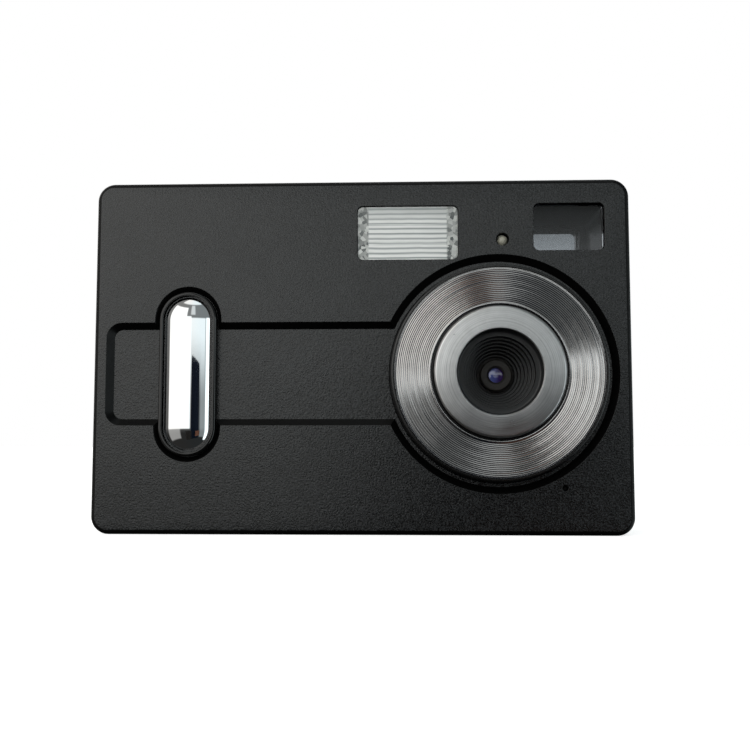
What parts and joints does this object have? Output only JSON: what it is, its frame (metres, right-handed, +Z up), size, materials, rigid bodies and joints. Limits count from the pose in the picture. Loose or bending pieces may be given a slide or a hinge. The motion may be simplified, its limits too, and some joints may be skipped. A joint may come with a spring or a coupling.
{
  "type": "compact digital camera",
  "caption": "Compact digital camera: flat black case, fixed lens with a turned aluminium trim disc, chrome grip bar, flash, viewfinder, rear screen and keys, battery door in the base.",
  "frame": {"origin": "centre of the tripod socket's mouth, in the base face", "axes": "+X along the width, to the right as seen from the front; +Y along the depth, from the lens to the screen; +Z up"},
  "size_m": [0.091, 0.0246, 0.0613],
  "materials": {
    "body_black": "matte, finely spark-eroded",
    "case_black": "matte",
    "gloss_black": "gloss",
    "grip_chrome": "mirror chrome",
    "turned_aluminium": "turned in fine concentric grooves",
    "ring_metal": "bright turned",
    "baffle_black": "dull",
    "optic_glass": "polished, coated",
    "clear_plastic": "clear moulded",
    "reflector_silver": "bright",
    "tube_glass": "clear",
    "capacitor_sleeve": "shrink sleeve",
    "board_green": "solder mask",
    "sensor_dark": "dark",
    "screen_window": "gloss, dark tinted",
    "cable_amber": "polyimide",
    "lamp_green": "diffuse green",
    "steel": "plain",
    "contact_brass": "plain",
    "key_grey": "satin",
    "button_silver": "satin metallic paint",
    "switch_grey": "satin",
    "cell_jacket": "printed jacket, plain blue",
    "flap_rubber": "soft matte"
  },
  "bodies": {
    "case": {"front_cover": "body_black", "rear_cover": "case_black", "grip_frame": "gloss_black", "grip_bar": "grip_chrome", "lens_drum": "gloss_black", "trim_disc": "turned_aluminium", "lens_ring": "ring_metal", "lens_baffle": "baffle_black", "front_lens": "optic_glass", "lens_barrel": "baffle_black", "rear_lens": "optic_glass", "lens_holder": "baffle_black", "infrared_filter": "optic_glass", "image_sensor": "sensor_dark", "main_board": "board_green", "flash_window": "clear_plastic", "flash_reflector": "reflector_silver", "flash_tube": "tube_glass", "flash_capacitor": "capacitor_sleeve", "flash_board": "board_green", "finder_front_lens": "optic_glass", "finder_tunnel": "baffle_black", "finder_rear_lens": "optic_glass", "timer_lamp": "clear_plastic", "microphone": "steel", "display_module": "sensor_dark", "display_window": "screen_window", "display_cable": "cable_amber", "status_lamp": "lamp_green", "key_board": "board_green", "key_domes": "steel", "top_board": "board_green", "top_switches": "switch_grey", "battery_holder": "baffle_black", "battery_left": "cell_jacket", "battery_right": "cell_jacket", "battery_contacts": "contact_brass", "battery_springs": "steel", "door_pin": "steel", "usb_socket": "steel", "card_socket": "steel", "tripod_socket": "contact_brass", "strap_bar": "steel", "case_screws": "steel"},
    "battery_door": {"battery_door": "case_black", "door_contact": "contact_brass"},
    "door_lock": {"door_lock": "switch_grey"},
    "usb_cover": {"usb_cover": "flap_rubber"},
    "key_up": {"key_up": "key_grey"},
    "key_down": {"key_down": "key_grey"},
    "key_left": {"key_left": "key_grey"},
    "key_right": {"key_right": "key_grey"},
    "key_ok": {"key_ok": "key_grey"},
    "key_menu": {"key_menu": "key_grey"},
    "key_play": {"key_play": "key_grey"},
    "zoom_rocker": {"zoom_rocker": "key_grey"},
    "shutter_button": {"shutter_button": "button_silver"},
    "power_button": {"power_button": "button_silver"}
  },
  "joints": [
    {"name": "battery_door_hinge", "type": "hinge", "parent": "case", "child": "battery_door", "pos_m": [-0.01755, 0.0002, 0.0017], "axis": [0, -1, 0], "range_deg": [0, 90]},
    {"name": "door_lock_slide", "type": "slide", "parent": "battery_door", "child": "door_lock", "axis": [1, 0, 0], "range_m": [-0.0014, 0]},
    {"name": "usb_cover_hinge", "type": "hinge", "parent": "case", "child": "usb_cover", "pos_m": [0.04495, 0.0026, 0.0421], "axis": [0, 0, -1], "range_deg": [0, 90]},
    {"name": "key_up_press", "type": "slide", "parent": "case", "child": "key_up", "axis": [0, -1, 0], "range_m": [0, 0.00035], "stiffness_N_per_m": 2000},
    {"name": "key_down_press", "type": "slide", "parent": "case", "child": "key_down", "axis": [0, -1, 0], "range_m": [0, 0.00035], "stiffness_N_per_m": 2000},
    {"name": "key_left_press", "type": "slide", "parent": "case", "child": "key_left", "axis": [0, -1, 0], "range_m": [0, 0.00035], "stiffness_N_per_m": 2000},
    {"name": "key_right_press", "type": "slide", "parent": "case", "child": "key_right", "axis": [0, -1, 0], "range_m": [0, 0.00035], "stiffness_N_per_m": 2000},
    {"name": "key_ok_press", "type": "slide", "parent": "case", "child": "key_ok", "axis": [0, -1, 0], "range_m": [0, 0.00035], "stiffness_N_per_m": 2000},
    {"name": "key_menu_press", "type": "slide", "parent": "case", "child": "key_menu", "axis": [0, -1, 0], "range_m": [0, 0.00035], "stiffness_N_per_m": 2000},
    {"name": "key_play_press", "type": "slide", "parent": "case", "child": "key_play", "axis": [0, -1, 0], "range_m": [0, 0.00035], "stiffness_N_per_m": 2000},
    {"name": "zoom_rocker_tilt", "type": "hinge", "parent": "case", "child": "zoom_rocker", "pos_m": [-0.0242, 0.0082, 0.0495], "axis": [0, 0, 1], "range_deg": [-3, 3], "stiffness_Nm_per_rad": 0.05},
    {"name": "shutter_press", "type": "slide", "parent": "case", "child": "shutter_button", "axis": [0, 0, -1], "range_m": [0, 0.0008], "stiffness_N_per_m": 1500},
    {"name": "power_press", "type": "slide", "parent": "case", "child": "power_button", "axis": [0, 0, -1], "range_m": [0, 0.0004], "stiffness_N_per_m": 2000}
  ]
}
